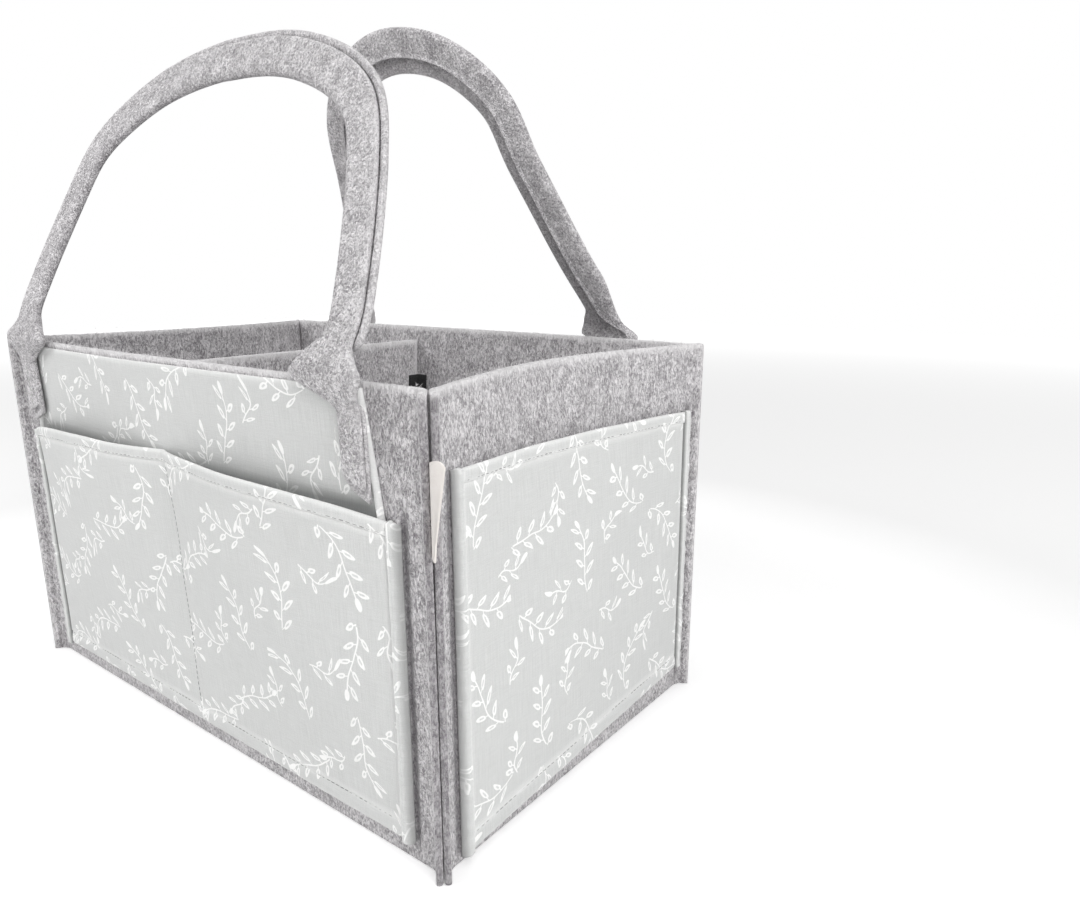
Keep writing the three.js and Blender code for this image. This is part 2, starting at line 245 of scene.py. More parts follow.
@dataclass
class Side:
    """One wall of the box."""

    label: str
    turn: float
    words: tuple
    print_shift: int
    face: float
    half: float
    bow: float
    shape: float
    arch: Arch = None

    def word(self, end):
        return self.words[end > 0]


FRONT_ARCH = Arch(
    root=LENGTH / 2 - 44, leg_out=8, shoulder=121, shoulder_rise=82, height=146, width=21.4,
    shorts=(3.7, 0), roots=(18.5, 24), sweep=(14, 16), power=1, pinch=0, flap_zone=(8, 18),
    flush=1.9, open_side=1, shade=0, left_root=18.5, left_draw=1,
)
REAR_ARCH = Arch(
    root=LENGTH / 2 - 60, leg_out=-3, shoulder=76, shoulder_rise=101, height=170, width=24,
    shorts=(0, 9), roots=(22.5, 18), sweep=(20, 10), power=2, pinch=3.5, flap_zone=(2, 32),
    flush=0, open_side=-1, shade=0.4, left_root=12, left_draw=0.9,
)
LONG = dict(face=WIDTH / 2, half=LENGTH / 2, bow=9, shape=3)
SHORT = dict(face=LENGTH / 2, half=WIDTH / 2, bow=-15.5, shape=2)
FRONT = Side("front", 0, ("left", "right"), 0, **LONG, arch=FRONT_ARCH)
REAR = Side("rear", math.pi, ("right", "left"), 611, **LONG, arch=REAR_ARCH)
RIGHT = Side("right_end", math.pi / 2, ("front", "rear"), 1203, **SHORT)
LEFT = Side("left_end", -math.pi / 2, ("rear", "front"), 1807, **SHORT)


def mix(a, b, t):
    return a + (b - a) * t


def smooth(x, start, end):
    t = np.clip((x - start) / (end - start), 0, 1)
    return t * t * (3 - 2 * t)


def hill(x, width):
    """A smooth hill of height 1 round 0."""
    return np.exp(-(x / width) ** 2)


def unit(vectors):
    return vectors / np.linalg.norm(vectors, axis=-1, keepdims=True)


def ripple(x, y, length, seed):
    """Smooth random waves of about that length, mostly between -1 and 1."""
    rng = np.random.default_rng(seed)
    waves = 7
    total = 0
    for angle, phase, stretch in zip(
        rng.uniform(0, math.pi, waves),
        rng.uniform(0, 2 * math.pi, waves),
        rng.uniform(0.6, 1.5, waves),
    ):
        turn = 2 * math.pi / (length * stretch)
        total = total + np.sin(turn * (x * math.cos(angle) + y * math.sin(angle)) + phase)
    return total / math.sqrt(2 * waves)


def waved(wave, x, y, seed):
    height, length = wave
    return height * ripple(x, y, length, seed)


def place(side, s, out, z):
    """Row frame points for distances in a wall's own frame."""
    x, y, z = np.broadcast_arrays(s, -(side.face + out), z)
    c, d = math.cos(side.turn), math.sin(side.turn)
    return np.stack([x * c - y * d, x * d + y * c, z], axis=-1)


def rim_dip(side, s):
    """The rim sinks a little at the near corner, where the seam pulls it down."""
    near = {"front": side.half - s, "right_end": side.half + s}.get(side.label)
    return 0 if near is None else NEAR_CORNER_DIP * np.exp(-np.maximum(near, 0) / NEAR_CORNER_REACH)


def bow_at(side, s, z):
    """How far the wall's face leaves the flat: its bow, and a slight unevenness of the felt."""
    reach = side.half - SEAM_STEP - FELT
    across = np.maximum(0, 1 - np.abs(s / reach) ** side.shape)
    rise = (np.maximum(z, 0) / HEIGHT) ** BOW_POWER
    uneven = waved(FELT_WAVE, s, z, len(side.label)) * np.minimum(1, across * 2)
    return side.bow * across * rise + uneven * np.minimum(1, np.maximum(z, 0) / FELT_WAVE_FOOT)


# Meshes

def linked(name, data):
    """A new object in the scene."""
    made = bpy.data.objects.new(name, data)
    bpy.context.scene.collection.objects.link(made)
    return made


def border(columns, rows):
    """Grid places round the border, in order, as (column, row)."""
    loop = [(c, 0) for c in range(columns)]
    loop += [(columns, r) for r in range(rows)]
    loop += [(c, rows) for c in range(columns, 0, -1)]
    loop += [(0, r) for r in range(rows, 0, -1)]
    return np.array(loop)


def grid_faces(columns, rows, start, flip):
    across = columns + 1
    c, r = np.meshgrid(np.arange(columns), np.arange(rows))
    a = (start + r * across + c).ravel()
    quads = np.stack([a, a + 1, a + across + 1, a + across], axis=1)
    return quads[:, ::-1] if flip else quads


def ring_faces(low, high):
    return np.stack([np.roll(low, -1), low, high, np.roll(high, -1)], axis=1)


def signed_volume(points, quads):
    a, b, c, d = (points[quads[:, k]] for k in range(4))
    return (np.einsum("ij,ij->i", a, np.cross(b, c)) + np.einsum("ij,ij->i", a, np.cross(c, d))).sum()


def new_object(name, points, faces, material, uv=None, **marks):
    """A smooth mesh object from points in millimetres."""
    mesh = bpy.data.meshes.new(name)
    mesh.from_pydata((points * MM).tolist(), [], faces)
    mesh.polygons.foreach_set("use_smooth", [True] * len(mesh.polygons))
    if uv is not None:
        layer = mesh.uv_layers.new(name="cloth")
        corner = np.zeros(len(mesh.loops), int)
        mesh.loops.foreach_get("vertex_index", corner)
        layer.data.foreach_set("uv", (uv[corner] * MM).astype(np.float32).ravel())
    mesh.materials.append(material)
    made = linked(name, mesh)
    for word, values in marks.items():
        mark(made, word, values)
    mesh.update()
    return made


def mark(made, name, values):
    """Stores a number at each point, for the material to read."""
    made.data.attributes.new(name, "FLOAT", "POINT").data.foreach_set("value", values.astype(np.float32))


def edge_wear_and_highlight(distance):
    """How much an edge is paled, by wear and by painted highlight, at a distance from it, from 1 down to
    0.
    """
    return np.exp(-np.maximum(0, distance) / EDGE_FADE)


def even_shares(size, step):
    return np.linspace(0, 1, max(3, round(size / step)) + 1)


def closed_sheet(name, face, size, material, roll, us=None, vs=None, uv=None, step=STEP,
                 cut_sides=False, shade=None):
    """A sheet with rounded edges between its two faces. face gives their points for u and v from
    0 to 1, and for the side: 1 in front, -1 behind.

    size is the sheet's rough width and height, and roll how far its edge is rounded. The edge
    attribute marks edges paled by wear and by painted highlight, the cut attribute the faces of
    cut sides, and a third attribute the painted shade that shade, a function of u and v, gives."""
    us = even_shares(size[0], step) if us is None else us
    vs = even_shares(size[1], step) if vs is None else vs
    inset_u, inset_v = roll / size[0], roll / size[1]
    columns, rows = len(us) - 1, len(vs) - 1
    u, v = np.meshgrid(inset_u + (1 - 2 * inset_u) * us, inset_v + (1 - 2 * inset_v) * vs)
    u, v = u.ravel(), v.ravel()
    column, row = border(columns, rows).T
    at = row * (columns + 1) + column
    edge_u = np.where(column == 0, 0, np.where(column == columns, 1, u[at]))
    edge_v = np.where(row == 0, 0, np.where(row == rows, 1, v[at]))
    near, far = face(u, v, 1), face(u, v, -1)
    middle, half = (near[at] + far[at]) / 2, (near[at] - far[at]) / 2
    reach = (face(edge_u, edge_v, 1) + face(edge_u, edge_v, -1)) / 2 - middle
    angles = [math.pi * k / (EDGE_RINGS + 1) for k in range(1, EDGE_RINGS + 1)]
    rings = [middle + half * math.cos(a) + reach * math.sin(a) for a in angles]
    points = np.concatenate([near, far, *rings])

    count = len(near)
    loops = [at, *(2 * count + k * len(at) + np.arange(len(at)) for k in range(EDGE_RINGS)), count + at]
    faces = np.concatenate([
        grid_faces(columns, rows, 0, False), grid_faces(columns, rows, count, True),
        *(ring_faces(low, high) for low, high in zip(loops, loops[1:])),
    ])
    if signed_volume(points, faces) < 0:
        faces = faces[:, ::-1]

    from_side, from_end = np.minimum(u, 1 - u) * size[0], (1 - v) * size[1]
    cut = np.zeros(len(points))
    if cut_sides:
        fade_back = edge_wear_and_highlight(from_end - roll)
        fade = np.maximum(fade_back, CUT_EDGE_WEAR_AND_HIGHLIGHT * edge_wear_and_highlight(1.5 * (from_side - roll)))
        cut_face = ((column == 0) | (column == columns)) & (row < rows)
        cut[2 * count:] = np.tile(cut_face, EDGE_RINGS)
        ring_edge = row == rows
    else:
        fade = fade_back = edge_wear_and_highlight(np.minimum.reduce([from_side, from_end, v * size[1]]) - roll)
        ring_edge = np.ones(len(at))

    uv = uv or (lambda a, b: (a * size[0], b * size[1]))
    inner_uv, edge_uv = np.stack(uv(u, v), axis=1), np.stack(uv(edge_u, edge_v), axis=1)
    made = new_object(
        name, points, faces.tolist(), material,
        uv=np.concatenate([inner_uv] * 2 + [edge_uv] * EDGE_RINGS),
        edge=np.concatenate([fade, fade_back] + [ring_edge] * EDGE_RINGS),
        cut=cut,
    )
    # Painted shade, as the shade function gives.
    if shade:
        mark(made, "painted_shade", np.concatenate([shade(u, v)] * 2 + [shade(edge_u, edge_v)] * EDGE_RINGS))
    return made


def spindles(name, centres, along, normal, length, thick, material):
    """Small closed spindles, such as stitches or fibres, with their directions. All in one mesh."""
    along = unit(along)
    normal = unit(normal - along * np.sum(normal * along, axis=1, keepdims=True))
    across = np.cross(along, normal)
    sides = 6
    points = [centres - along * length / 2]
    for share, girth in ((-0.42, 0.7), (0, 1), (0.42, 0.7)):
        for k in range(sides):
            angle = 2 * math.pi * k / sides
            spread = across * math.cos(angle) + normal * math.sin(angle)
            points.append(centres + along * length * share + spread * thick / 2 * girth)
    points.append(centres + along * length / 2)
    last = len(points) - 1
    faces = []
    for k in range(sides):
        following = (k + 1) % sides
        faces.append([0, 1 + following, 1 + k])
        for low in (1, 1 + sides):
            high = low + sides
            faces.append([low + k, low + following, high + following, high + k])
        faces.append([last, 1 + 2 * sides + k, 1 + 2 * sides + following])
    every = [[i * len(points) + c for c in f] for i in range(len(centres)) for f in faces]
    return new_object(name, np.stack(points, axis=1).reshape(-1, 3), every, material)


def even(line, pitch):
    """Points and directions along a line of points, a pitch apart."""
    steps = np.linalg.norm(np.diff(line, axis=0), axis=1)
    run = np.concatenate([[0], np.cumsum(steps)])
    at = np.arange(pitch / 2, run[-1], pitch)
    behind, spots, ahead = (np.stack([np.interp(at + shift, run, line[:, k]) for k in range(3)], axis=1)
                            for shift in (-0.2, 0, 0.2))
    return spots, ahead - behind


def stitch_row(name, side, lines, material):
    """Rows of stitches along lines on a wall."""
    centres, along = (np.concatenate(part) for part in zip(*(even(line, STITCH_PITCH) for line in lines)))
    outward = place(side, 0.0, 1.0, 0.0) - place(side, 0.0, 0.0, 0.0)
    made = spindles(name, centres, along, np.tile(outward, (len(centres), 1)), STITCH_LENGTH,
                    STITCH_THICK, material)
    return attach(made, "caddy")


def keep(piece, body, slot, *nodes):
    """Rides on the body and stands for the nodes. The slot is not used."""
    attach(piece, body)
    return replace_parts(piece, *nodes)


# Materials

def colour(red, green, blue):
    """Linear colour of a screen colour from 0 to 255."""
    return tuple((c / 255 / 12.92 if c < 11 else ((c / 255 + 0.055) / 1.055) ** 2.4)
                 for c in (red, green, blue)) + (1,)


class Varying:
    """A number that varies over a surface. Arithmetic on it adds shader nodes."""

    def __init__(self, tree, socket):
        self.tree = tree
        self.socket = socket

    def math(self, operation, *others, clamp=False):
        return calculate(self.tree, operation, self, *others, clamp=clamp)

    def clamped(self):
        return self.math("ADD", 0, clamp=True)

    def __add__(self, other):
        return self.math("ADD", other)

    def __sub__(self, other):
        return self.math("SUBTRACT", other)

    def __rsub__(self, other):
        return calculate(self.tree, "SUBTRACT", other, self)

    def __mul__(self, other):
        return self.math("MULTIPLY", other)

    def __truediv__(self, other):
        return self.math("DIVIDE", other)

    def __abs__(self):
        return self.math("ABSOLUTE")

    __radd__ = __add__
    __rmul__ = __mul__


def plug(tree, socket, value):
    if isinstance(value, Varying):
        tree.links.new(value.socket, socket)
    else:
        socket.default_value = value


def node(tree, kind, output=0, inputs=(), **settings):
    """The output of a new shader node, with its settings, and its inputs by name or place."""
    made = tree.nodes.new(f"ShaderNode{kind}")
    for word, value in settings.items():
        setattr(made, word, value)
    for key, value in dict(inputs).items():
        plug(tree, made.inputs[key], value)
    return Varying(tree, made.outputs[output])


def calculate(tree, operation, *values, clamp=False):
    return node(tree, "Math", inputs=enumerate(values), operation=operation, use_clamp=clamp)


def x_and_y(tree, vector):
    return [node(tree, "SeparateXYZ", k, {0: vector}) for k in (0, 1)]


def within(value, limit, soft):
    """1 where value is below limit, 0 where it is above, with a soft change between."""
    return ((limit - value) / soft + 0.5).clamped()


def largest(a, b):
    return a.math("MAXIMUM", b)


class Finish:
    """A material: its node tree and its principled shader."""

    def __init__(self, name):
        self.material = bpy.data.materials.new(name)
        self.material.use_nodes = True
        self.tree = self.material.node_tree
        self.shader = self.tree.nodes["Principled BSDF"]

    def node(self, kind, output=0, inputs=(), **settings):
        return node(self.tree, kind, output, inputs, **settings)

    def coordinates(self):
        """Place on the flat cloth, in metres."""
        return x_and_y(self.tree, self.node("UVMap", "UV", uv_map="cloth"))

    def solid_coordinates(self):
        return self.node("TexCoord", "Object")

    def vector(self, x, y, z=0.0):
        return self.node("CombineXYZ", inputs={0: x, 1: y, 2: z})

    def scaled(self, vector, factors):
        return self.node("VectorMath", inputs={0: vector, 1: factors}, operation="MULTIPLY")

    def noise(self, vector, scale, detail=3.0, roughness=0.6, twist=0.0):
        return self.node("TexNoise", "Fac", {"Vector": vector, "Scale": scale, "Detail": detail,
                                             "Roughness": roughness, "Distortion": twist})

    def curls(self, vector, scale, width):
        """Thin curling lines, where a smooth noise passes its middle value."""
        noise = self.noise(vector, scale, 1.5, 0.6, 1.2)
        return within(abs(noise - 0.5), width, width)

    def random(self, vector):
        return self.node("TexWhiteNoise", "Value", {"Vector": vector}, noise_dimensions="3D")

    def attribute(self, name):
        return self.node("Attribute", "Fac", attribute_name=name)

    def blend(self, share, first, second):
        """Colour between two colours, each a constant or a blend made before."""
        return self.node("Mix", 2, {"Factor": share, 6: first, 7: second}, data_type="RGBA")

    def set(self, **values):
        """Plugs the shader's inputs, by their names with _ for each space."""
        for name, value in values.items():
            plug(self.tree, self.shader.inputs[name.replace("_", " ")], value)

    def woven(self, base, height, depth, roughness, sheen):
        """Connects colour and relief, and sets what is the same all over."""
        bump = self.node("Bump", "Normal", {"Strength": 1, "Distance": depth * MM, "Height": height})
        self.set(Base_Color=base, Normal=bump, Roughness=roughness, Specular_IOR_Level=0.25,
                 Sheen_Weight=sheen, Sheen_Roughness=0.6)
        return self.material


# FELT_DARK colours the dark fibres and also the painted shade.
FELT_DARK = colour(96, 91, 96)
FELT_LOW = colour(144, 140, 144)
FELT_HIGH = colour(238, 235, 237)
STRAP_LOW = colour(150, 146, 150)
STRAP_HIGH = colour(246, 243, 245)
FELT_PALE = colour(240, 238, 239)
FELT_CUT = colour(112, 107, 112)


def felt_material(name, upright, low, high, fray_and_highlight):
    """Grey melange felt: pale and dark fibres curling over a mottled ground."""
    felt = Finish(name)
    spot = felt.solid_coordinates()
    lying = felt.scaled(spot, (1, 1, 0.5 if upright else 1))
    mottle = felt.noise(spot, 130, 3)
    grain = felt.noise(lying, 900, 4, 0.75)
    pale = felt.curls(lying, 420, 0.035)
    dark = felt.curls(felt.scaled(lying, (1, 1, -1)), 330, 0.03)
    share = (grain - 0.5) * 5 + (mottle - 0.5) * 1.8 + 0.5
    base = felt.blend(share.clamped(), low, high)
    base = felt.blend(dark * grain, base, FELT_DARK)
    base = felt.blend(pale * 0.55, base, FELT_PALE)
    # Edges paled towards white: partly frayed fibres, partly painted highlight.
    frayed_and_highlit = felt.attribute("edge") * (grain * fray_and_highlight)
    base = felt.blend(frayed_and_highlit.math("MINIMUM", 0.9), base, FELT_PALE)
    base = felt.blend(felt.attribute("cut") * 0.5, base, FELT_CUT)
    # Painted shade: darkened in furrows and between the strap's leaves, as the sheet marks it.
    base = felt.blend(felt.attribute("painted_shade") * 0.75, base, FELT_DARK)
    return felt.woven(base, grain + pale * 0.35 - dark * 0.3, 0.8, 0.95, 0.25)


PRINT_GROUND = colour(218, 219, 218)
PRINT_GROUND_DEEP = colour(193, 194, 193)
PRINT_WHITE = colour(250, 250, 249)
# PRINT_SHADE is the colour of painted shade on the cloth.
PRINT_SHADE = colour(104, 106, 105)
PRINT_CELL = (37 * MM, 43 * MM)
PRINT_WANDER = 3 * MM
LEAF_STEP = 8.4 * MM
LEAF_LENGTH = 5.2 * MM
LEAF_WIDTH = 1.6 * MM
STALK = 1.5 * MM
STEM_WIDTH = 0.36 * MM
STEM_WAVE = 1.1 * MM
TIP_REACH = 2 * MM
TIP_LENGTH = 2.7 * MM
TIP_WIDTH = 1.35 * MM
INK_SOFT = 0.3 * MM


def leaf_shape(spread, far, length, scale):
    """A leaf on a short stalk, with a narrow slit left open along its middle."""
    share = ((far - STALK) / length).clamped()
    girth = (share * (1 - share)).math("SQRT") * (2 * LEAF_WIDTH * scale) * (1.3 - share * 0.6)
    blade = within(spread, girth, INK_SOFT) * within(far, length + STALK, INK_SOFT)
    blade = blade * (1 - within(far, STALK, 0.2 * MM))
    slit = within(spread, girth * 0.32, INK_SOFT) * within(abs(share - 0.4), 0.22, 0.1)
    stalk = within(spread, STEM_WIDTH * 0.9, 0.25 * MM) * within(far, STALK + INK_SOFT, 0.2 * MM)
    return largest(blade * (1 - slit * 0.85), stalk)


def sprigs(cloth, x, y, half_length, scale, seed):
    """Share of white at a place: a sprig in each cell of a half-drop layout, turned at random."""
    column = (x / PRINT_CELL[0]).math("FLOOR")
    dropped = y + (column * 0.5).math("FRACT") * PRINT_CELL[1]
    row = (dropped / PRINT_CELL[1]).math("FLOOR")
    across = x - (column + 0.5) * PRINT_CELL[0]
    along = dropped - (row + 0.5) * PRINT_CELL[1]
    turn = cloth.random(cloth.vector(column, row, float(seed))) * (2 * math.pi)
    bend = (cloth.random(cloth.vector(column, row, float(seed + 5))) - 0.5) * (0.8 / half_length)
    cosine, sine = turn.math("COSINE"), turn.math("SINE")
    run = across * cosine + along * sine
    wave = (run * (math.pi / half_length)).math("SINE") * STEM_WAVE
    offset = along * cosine - across * sine + run * run * bend + wave
    far = abs(offset)
    stem = within(abs(run), half_length, INK_SOFT) * within(far, STEM_WIDTH, 0.25 * MM)
    step = LEAF_STEP * scale
    leaning = run - far * 0.75 + offset.math("LESS_THAN", 0) * (step / 2)
    index = (leaning / step).math("FLOOR") + 0.5
    spread = abs(leaning - index * step)
    outermost = abs(index * step) / half_length
    leaves = leaf_shape(spread, far, (1.1 - outermost * 0.3) * (LEAF_LENGTH * scale), scale)
    leaves = leaves * within(outermost, 0.9, 0.01)
    tip_run, tip_offset = (run - half_length - TIP_REACH) / TIP_LENGTH, offset / TIP_WIDTH
    tip = within(tip_run * tip_run + tip_offset * tip_offset, 1, 0.3)
    return largest(largest(stem, leaves), tip)


def print_material():
    """Plain-woven cotton with a white leaf print."""
    cloth = Finish("printed_cotton")
    x, y = cloth.coordinates()
    wander_x = x + (cloth.noise(cloth.vector(x, y), 60, 1) - 0.5) * PRINT_WANDER
    wander_y = y + (cloth.noise(cloth.vector(y, x), 60, 1) - 0.5) * PRINT_WANDER
    large = sprigs(cloth, wander_x, wander_y, 16 * MM, 1.0, 3)
    small = sprigs(cloth, wander_x + PRINT_CELL[0] / 2, wander_y + PRINT_CELL[1] / 4, 8 * MM, 0.8, 11)
    white = largest(large, small)
    yarn = cloth.noise(cloth.vector(x, y * 0.03), 2100, 2)
    weft = cloth.noise(cloth.vector(x * 0.05, y), 1900, 2)
    speck = cloth.noise(cloth.vector(x, y), 2600, 2)
    share = (yarn - 0.5) * 1.1 + (weft - 0.5) * 0.7 + (speck - 0.5) * 1.6 + 0.5
    base = cloth.blend(share.clamped(), PRINT_GROUND_DEEP, PRINT_GROUND)
    base = cloth.blend(white * ((yarn - 0.5) * 0.5 + 0.93), base, PRINT_WHITE)
    # Edges paled towards white: partly wear, partly painted highlight.
    base = cloth.blend(cloth.attribute("edge") * 0.4, base, PRINT_WHITE)
    # Painted shade: darkened beside the bindings and in the pocket's mouth, as the sheet marks it.
    base = cloth.blend(cloth.attribute("painted_shade"), base, PRINT_SHADE)
    return cloth.woven(base, yarn + weft * 0.7 + speck * 0.4 + white * 0.12, 0.28, 0.85, 0.2)


def ribs(along, spacing):
    """Waves of that spacing in millimetres."""
    return (along * (2 * math.pi / (spacing * MM))).math("SINE")


def satin_material():
    """Cream satin ribbon with fine ribs."""
    satin = Finish("cream_satin")
    x, y = satin.coordinates()
    shade = satin.noise(satin.vector(x * 3, y), 120, 2)
    base = satin.blend(shade, colour(228, 221, 216), colour(240, 235, 230))
    return satin.woven(base, ribs(y, 0.5) * 0.3 + shade, 0.15, 0.5, 0.3)


def hook_material():
    """Black hook tape: rows of tiny hooks on a dull ground, with a little lint."""
    tape = Finish("hook_tape")
    x, y = tape.coordinates()
    lint = tape.noise(tape.vector(x, y), 700, 3)
    base = tape.blend(((lint - 0.6) * 4).clamped(), colour(24, 24, 25), colour(96, 94, 96))
    return tape.woven(base, ribs(x, 1.4) * ribs(y, 1.6) + lint, 0.5, 0.7, 0.1)


def thread_material(name, tone):
    thread = Finish(name)
    twist = thread.noise(thread.solid_coordinates(), 2500, 2)
    base = thread.blend(twist, colour(*[c * 0.85 for c in tone]), colour(*tone))
    return thread.woven(base, twist, 0.1, 0.8, 0.2)


FELT_WALL = felt_material("grey_felt", True, FELT_LOW, FELT_HIGH, 1.9)
FELT_STRAP = felt_material("grey_felt_strap", False, STRAP_LOW, STRAP_HIGH, 0.8)
PRINT = print_material()
SATIN = satin_material()
HOOKS = hook_material()
GREY_THREAD = thread_material("grey_thread", (150, 150, 150))
PALE_THREAD = thread_material("pale_thread", (214, 214, 212))
FUZZ = thread_material("fuzz", (236, 234, 235))


# Fabric pockets

@dataclass
class Pocket:
    """A sewn pocket, and how it leaves its wall."""

    side: Side
    inset: float  # from the wall's ends
    shift: float  # of its middle along the wall
    low: float  # its lower edge at one end
    low_far: float  # and at the other
    drop: float  # its mouth, below the rim
    bulge: float
    seams: tuple  # where it is sewn down in between
    lift: float  # of its back over the wall, for what lies under it
    rise: float  # of the mouth's edge in the middle
    dip: float  # of the mouth's edge at the bindings
    tilt: float
    fullness: float  # share by which the cloth is wider than its place
    furrow_low: float  # where the furrows beside the bindings start

    @property
    def high(self):
        return HEIGHT - self.drop

    @property
    def reach(self):
        return self.side.half - self.inset

    @property
    def panel_reach(self):
        return self.reach - BINDING_WIDTH - GAP

    def high_at(self, lower):
        """Height of the mouth's edge, less that much: it dips towards the bindings, and may tilt."""
        def height(s):
            beside = np.exp(-(self.panel_reach - np.abs(s - self.shift)) / MOUTH_DIP_REACH)
            bent = self.rise * (1 - beside) - self.dip * beside
            return self.high - lower + bent + self.tilt * s / self.reach
        return height

    def low_at(self, rise):
        return lambda s: rise + mix(self.low, self.low_far, (s / self.reach + 1) / 2)

    def slack(self, s, z):
        """How far the open cloth stands off between its seams."""
        stops = [self.shift - self.panel_reach, *self.seams, self.shift + self.panel_reach]
        total = 0
        for start, end in zip(stops, stops[1:]):
            middle, span = (start + end) / 2, (end - start) / 2
            total = np.maximum(total, np.maximum(0, 1 - ((s - middle) / span) ** 2) ** SEAM_SHAPE)
        depth = smooth(z, self.low, self.high) ** DEPTH_SHAPE
        wave = waved(SLACK_WAVE, s, z * 0.6, self.side.print_shift + 3)
        return np.maximum(0, (self.bulge + wave) * total * depth)

    def pucker(self, s, z, edge):
        """Small gathers beside a sewn edge."""
        near = np.exp(-np.abs(z - edge) / PUCKER_REACH)
        return near * waved(PUCKER, s, z * 0.2, self.side.print_shift + 8)

    def furrow(self, s, z):
        """How deep, up to 1, the bindings' seams press the felt in beside each binding."""
        total = 0
        for edge in (self.shift + self.reach, self.shift - self.reach):
            outside = (s - edge) * edge > 0
            total = total + hill(s - edge, np.where(outside, FURROW_OUTSIDE, FURROW_INSIDE))
        return (total * smooth(z, self.furrow_low - 4, self.furrow_low + 4)
                * (1 - smooth(z, self.high - 2, self.high + 6)))

    def back(self, s, z):
        return self.lift + GAP + self.slack(s, z)

    def hem_back(self, s, z):
        return np.maximum(self.lift + GAP, self.back(s, z) - (HEM_THICK - FABRIC) / 2)

    def edges(self, low, high, start=None, end=None):
        return {
            "low": low,
            "high": high,
            "start": level(self.shift - self.panel_reach if start is None else start),
            "end": level(self.shift + self.panel_reach if end is None else end),
        }


def level(value):
    return lambda at: np.full_like(np.asarray(at, float), value)


def on_felt(s, z, u, v):
    """The face of a piece that lies on the felt."""
    return level(GAP)(s)


def along_wall(side, name, part, edges, front, back, size, roll, turned=False, **more):
    """A piece of cloth that lies along a wall, from its edges and the distances of its faces."""
    def spot(u, v):
        s = mix(edges["start"](v), edges["end"](v), u)
        return s, mix(edges["low"](s), edges["high"](s), v)

    def face(u, v, sign):
        s, z = spot(u, v)
        distance = front if sign > 0 else back
        return place(side, s, bow_at(side, s, z) + distance(s, z, u, v), z)

    def uv(u, v):
        s, z = spot(u, v)
        return (z + 17, s + side.print_shift) if turned else (s + side.print_shift, z)

    made = closed_sheet(f"{side.label}_{name}", face, size, PRINT, roll, uv=uv, **more)
    return keep(made, "caddy", "print_fabric", f"{side.label}_{part}")


def pocket_panel(pocket):
    top = pocket.high - HEM_HEIGHT

    def back(s, z, u, v):
        gather = pocket.pucker(s, z, top) + pocket.pucker(s, z, pocket.low + BAND_HEIGHT)
        return pocket.back(s, z) + np.maximum(-GAP * 0.8, gather * np.minimum(1, pocket.slack(s, z)))

    size = (2 * pocket.panel_reach, top - pocket.low - BAND_HEIGHT)
    edges = pocket.edges(pocket.low_at(BAND_HEIGHT - 0.6), pocket.high_at(HEM_HEIGHT - 0.5))
    return along_wall(pocket.side, "pocket_cloth", "pocket_panel", edges,
                      lambda *at: back(*at) + FABRIC * 0.7, back, size, 0.3)


def pocket_hem(pocket):
    def back(s, z, u, v):
        return pocket.hem_back(s, z)

    def front(s, z, u, v):
        puffed = HEM_PUFF * (np.sin(math.pi * v) - hill(v - HEM_SEAM_AT, HEM_SEAM_WIDTH))
        return back(s, z, u, v) + HEM_THICK + puffed + waved(HEM_WAVE, s, z * 0, 21)

    edges = pocket.edges(pocket.high_at(HEM_HEIGHT), pocket.high_at(0))
    return along_wall(pocket.side, "pocket_hem_fold", "pocket_hem", edges, front, back,
                      (2 * pocket.panel_reach, HEM_HEIGHT), 0.75, step=1.5)


def pocket_band(pocket):
    def front(s, z, u, v):
        fullness = np.sin(math.pi * v) ** 0.7
        return GAP + mix(BAND_EDGE, BAND_THICK, fullness) + waved(BAND_WAVE, s, z, 33)

    edges = pocket.edges(pocket.low_at(0), pocket.low_at(BAND_HEIGHT))
    return along_wall(pocket.side, "pocket_band_fold", "pocket_band", edges, front, on_felt,
                      (2 * pocket.panel_reach, BAND_HEIGHT), 0.7, step=2)


def pocket_binding(pocket, end):
    def front(s, z, u, v):
        round_off = np.sin(math.pi * u)
        ridge = BINDING_RIDGE * hill(u - BINDING_RIDGE_AT, BINDING_RIDGE_WIDTH)
        puckered = waved(BINDING_WAVE, s * 0, z, 40 + end) * round_off
        return GAP + mix(BINDING_EDGE, BINDING_ROLL, round_off ** 0.6) + ridge + puckered

    # Painted shade: a dark line beside the panel, and the outer half darker as it turns away from the
    # light.
    def shade(u, v):
        return 0.8 * hill(u, 0.06) + 0.5 * smooth(u, 0.5, 1)

    start = pocket.shift + end * (pocket.panel_reach - 0.1)
    edges = pocket.edges(pocket.low_at(0), pocket.high_at(-0.4), start, pocket.shift + end * pocket.reach)
    word = pocket.side.word(end)
    return along_wall(pocket.side, f"pocket_roll_{word}", f"pocket_binding_{word}", edges, front, on_felt,
                      (BINDING_WIDTH, pocket.high - pocket.low), 0.7, turned=True, step=1.3,
                      us=np.linspace(0, 1, 12), shade=shade)


def pocket_stitches(pocket):
    side = pocket.side

    def line(s, z, out):
        return place(side, s, bow_at(side, s, z) + out, z)

    reach = pocket.panel_reach - 2
    s = np.linspace(pocket.shift - reach, pocket.shift + reach, 160)
    hem_z = pocket.high_at(HEM_HEIGHT - 1.05)(s)
    lines = [line(s, hem_z, pocket.hem_back(s, hem_z) + HEM_THICK - 0.1),
             line(s, pocket.low_at(BAND_HEIGHT - 1.4)(s), GAP + 1.85)]
    for seam in pocket.seams:
        z = np.linspace(pocket.low + BAND_HEIGHT + 2, pocket.high - 1, 60)
        lines.append(line(np.full_like(z, seam), z, pocket.lift + GAP + FABRIC * 0.75))
    return stitch_row(f"{side.label}_pocket_stitches", side, lines, GREY_THREAD)


